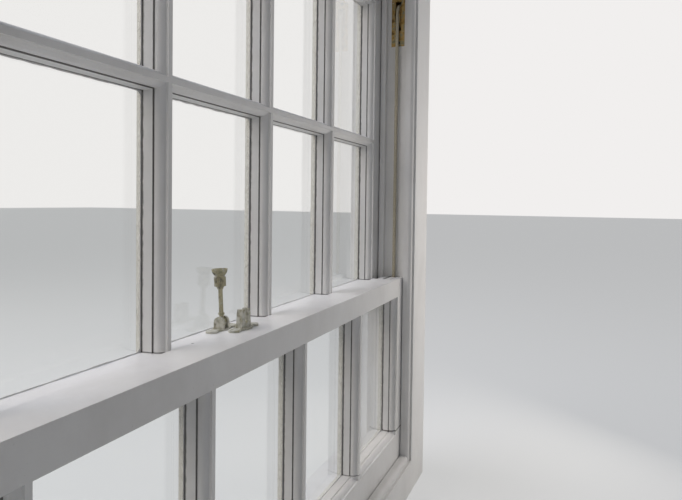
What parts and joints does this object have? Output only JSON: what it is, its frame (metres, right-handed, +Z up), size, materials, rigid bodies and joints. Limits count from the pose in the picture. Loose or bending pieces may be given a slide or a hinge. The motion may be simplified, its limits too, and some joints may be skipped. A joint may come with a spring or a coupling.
{
  "type": "sash window",
  "caption": "double-hung box sash window with glazing bars, corded pulleys and balance weights in the side boxes, and a swinging screw fastener across the meeting rails",
  "frame": {"origin": "centre of the footprint, at the underside of the sill", "axes": "+X to the right seen from the room, +Y outward, +Z up"},
  "size_m": [1.36, 0.1816, 1.11],
  "materials": {
    "painted_timber": "brushed gloss paint over softwood",
    "bare_timber": "bare softwood",
    "glass": "clear drawn sheet",
    "putty": "painted linseed putty",
    "brass": "aged, dull brown green",
    "cast_iron": "raw casting",
    "cord": "waxed cotton braid"
  },
  "bodies": {
    "frame": {"sill": "painted_timber", "head": "painted_timber", "pulley_stile_left": "painted_timber", "pulley_stile_right": "painted_timber", "inner_lining_left": "painted_timber", "inner_lining_right": "painted_timber", "inner_lining_head": "painted_timber", "outer_lining_left": "painted_timber", "outer_lining_right": "painted_timber", "outer_lining_head": "painted_timber", "back_lining_left": "bare_timber", "back_lining_right": "bare_timber", "parting_beads": "painted_timber", "staff_bead_left": "painted_timber", "staff_bead_right": "painted_timber", "staff_bead_head": "painted_timber", "staff_bead_sill": "painted_timber", "pockets": "painted_timber", "pulley_cases": "brass", "box_fixings": "brass", "cord_turns": "cord", "cord_sash_lower_left": "cord", "cord_weight_lower_left": "cord", "cord_sash_upper_left": "cord", "cord_weight_upper_left": "cord", "cord_sash_lower_right": "cord", "cord_weight_lower_right": "cord", "cord_sash_upper_right": "cord", "cord_weight_upper_right": "cord"},
    "upper_sash": {"upper_stile_left": "painted_timber", "upper_stile_right": "painted_timber", "upper_top_rail": "painted_timber", "upper_meeting_rail": "painted_timber", "upper_bars_upright": "painted_timber", "upper_bars_cross": "painted_timber", "upper_glass": "glass", "upper_putty": "putty", "fastener_base": "brass", "upper_fastener_fixings": "brass"},
    "lower_sash": {"lower_stile_left": "painted_timber", "lower_stile_right": "painted_timber", "lower_bottom_rail": "painted_timber", "lower_meeting_rail": "painted_timber", "lower_bars_upright": "painted_timber", "lower_glass": "glass", "lower_putty": "putty", "fastener_fork": "brass", "lower_fastener_screws": "brass"},
    "arm": {"fastener_arm": "brass"},
    "nut": {"fastener_nut": "brass"},
    "wheel_lower_left": {"wheel_lower_left": "brass"},
    "weight_lower_left": {"weight_lower_left": "cast_iron"},
    "wheel_upper_left": {"wheel_upper_left": "brass"},
    "weight_upper_left": {"weight_upper_left": "cast_iron"},
    "wheel_lower_right": {"wheel_lower_right": "brass"},
    "weight_lower_right": {"weight_lower_right": "cast_iron"},
    "wheel_upper_right": {"wheel_upper_right": "brass"},
    "weight_upper_right": {"weight_upper_right": "cast_iron"},
    "wagtail_left": {"wagtail_left": "bare_timber"},
    "wagtail_right": {"wagtail_right": "bare_timber"}
  },
  "joints": [
    {"name": "lower_sash_slide", "type": "slide", "parent": "frame", "child": "lower_sash", "axis": [0, 0, 1], "range_m": [0, 0.575], "deforming": ["cord_sash_lower_left", "cord_sash_lower_right"]},
    {"name": "upper_sash_slide", "type": "slide", "parent": "frame", "child": "upper_sash", "axis": [0, 0, -1], "range_m": [0, 0.34], "deforming": ["cord_sash_upper_left", "cord_sash_upper_right"]},
    {"name": "fastener_arm_hinge", "type": "hinge", "parent": "upper_sash", "child": "arm", "pos_m": [0.01, -0.00025, 0.4523], "axis": [1, 0, 0], "range_deg": [0, 74.2]},
    {"name": "fastener_nut_turn", "type": "hinge", "parent": "arm", "child": "nut", "pos_m": [0.01, -0.00025, 0.4523], "axis": [0, 0.0558, 0.9984], "range_deg": [0, 1080]},
    {"name": "wheel_lower_left_turn", "type": "hinge", "parent": "frame", "child": "wheel_lower_left", "pos_m": [-0.6, -0.04875, 0.985], "axis": [0, -1, 0], "range_deg": [0, 1267.6]},
    {"name": "weight_lower_left_slide", "type": "slide", "parent": "frame", "child": "weight_lower_left", "axis": [0, 0, -1], "range_m": [0, 0.575], "deforming": ["cord_weight_lower_left"]},
    {"name": "wheel_upper_left_turn", "type": "hinge", "parent": "frame", "child": "wheel_upper_left", "pos_m": [-0.6, 0.00625, 0.985], "axis": [0, 1, 0], "range_deg": [0, 749.8]},
    {"name": "weight_upper_left_slide", "type": "slide", "parent": "frame", "child": "weight_upper_left", "axis": [0, 0, 1], "range_m": [0, 0.34], "deforming": ["cord_weight_upper_left"]},
    {"name": "wheel_lower_right_turn", "type": "hinge", "parent": "frame", "child": "wheel_lower_right", "pos_m": [0.6, -0.04875, 0.985], "axis": [0, 1, 0], "range_deg": [0, 1267.6]},
    {"name": "weight_lower_right_slide", "type": "slide", "parent": "frame", "child": "weight_lower_right", "axis": [0, 0, -1], "range_m": [0, 0.575], "deforming": ["cord_weight_lower_right"]},
    {"name": "wheel_upper_right_turn", "type": "hinge", "parent": "frame", "child": "wheel_upper_right", "pos_m": [0.6, 0.00625, 0.985], "axis": [0, -1, 0], "range_deg": [0, 749.8]},
    {"name": "weight_upper_right_slide", "type": "slide", "parent": "frame", "child": "weight_upper_right", "axis": [0, 0, 1], "range_m": [0, 0.34], "deforming": ["cord_weight_upper_right"]},
    {"name": "wagtail_left_swing", "type": "hinge", "parent": "frame", "child": "wagtail_left", "pos_m": [-0.63125, -0.02125, 1.03], "axis": [1, 0, 0], "range_deg": [-0.2, 0.2]},
    {"name": "wagtail_right_swing", "type": "hinge", "parent": "frame", "child": "wagtail_right", "pos_m": [0.63125, -0.02125, 1.03], "axis": [1, 0, 0], "range_deg": [-0.2, 0.2]}
  ],
  "couplings": [
    {"joint": "wheel_lower_left_turn", "follows": "lower_sash_slide", "rad_per_m": 38.462},
    {"joint": "weight_lower_left_slide", "follows": "lower_sash_slide", "ratio": 1},
    {"joint": "wheel_upper_left_turn", "follows": "upper_sash_slide", "rad_per_m": 38.462},
    {"joint": "weight_upper_left_slide", "follows": "upper_sash_slide", "ratio": 1},
    {"joint": "wheel_lower_right_turn", "follows": "lower_sash_slide", "rad_per_m": 38.462},
    {"joint": "weight_lower_right_slide", "follows": "lower_sash_slide", "ratio": 1},
    {"joint": "wheel_upper_right_turn", "follows": "upper_sash_slide", "rad_per_m": 38.462},
    {"joint": "weight_upper_right_slide", "follows": "upper_sash_slide", "ratio": 1}
  ]
}
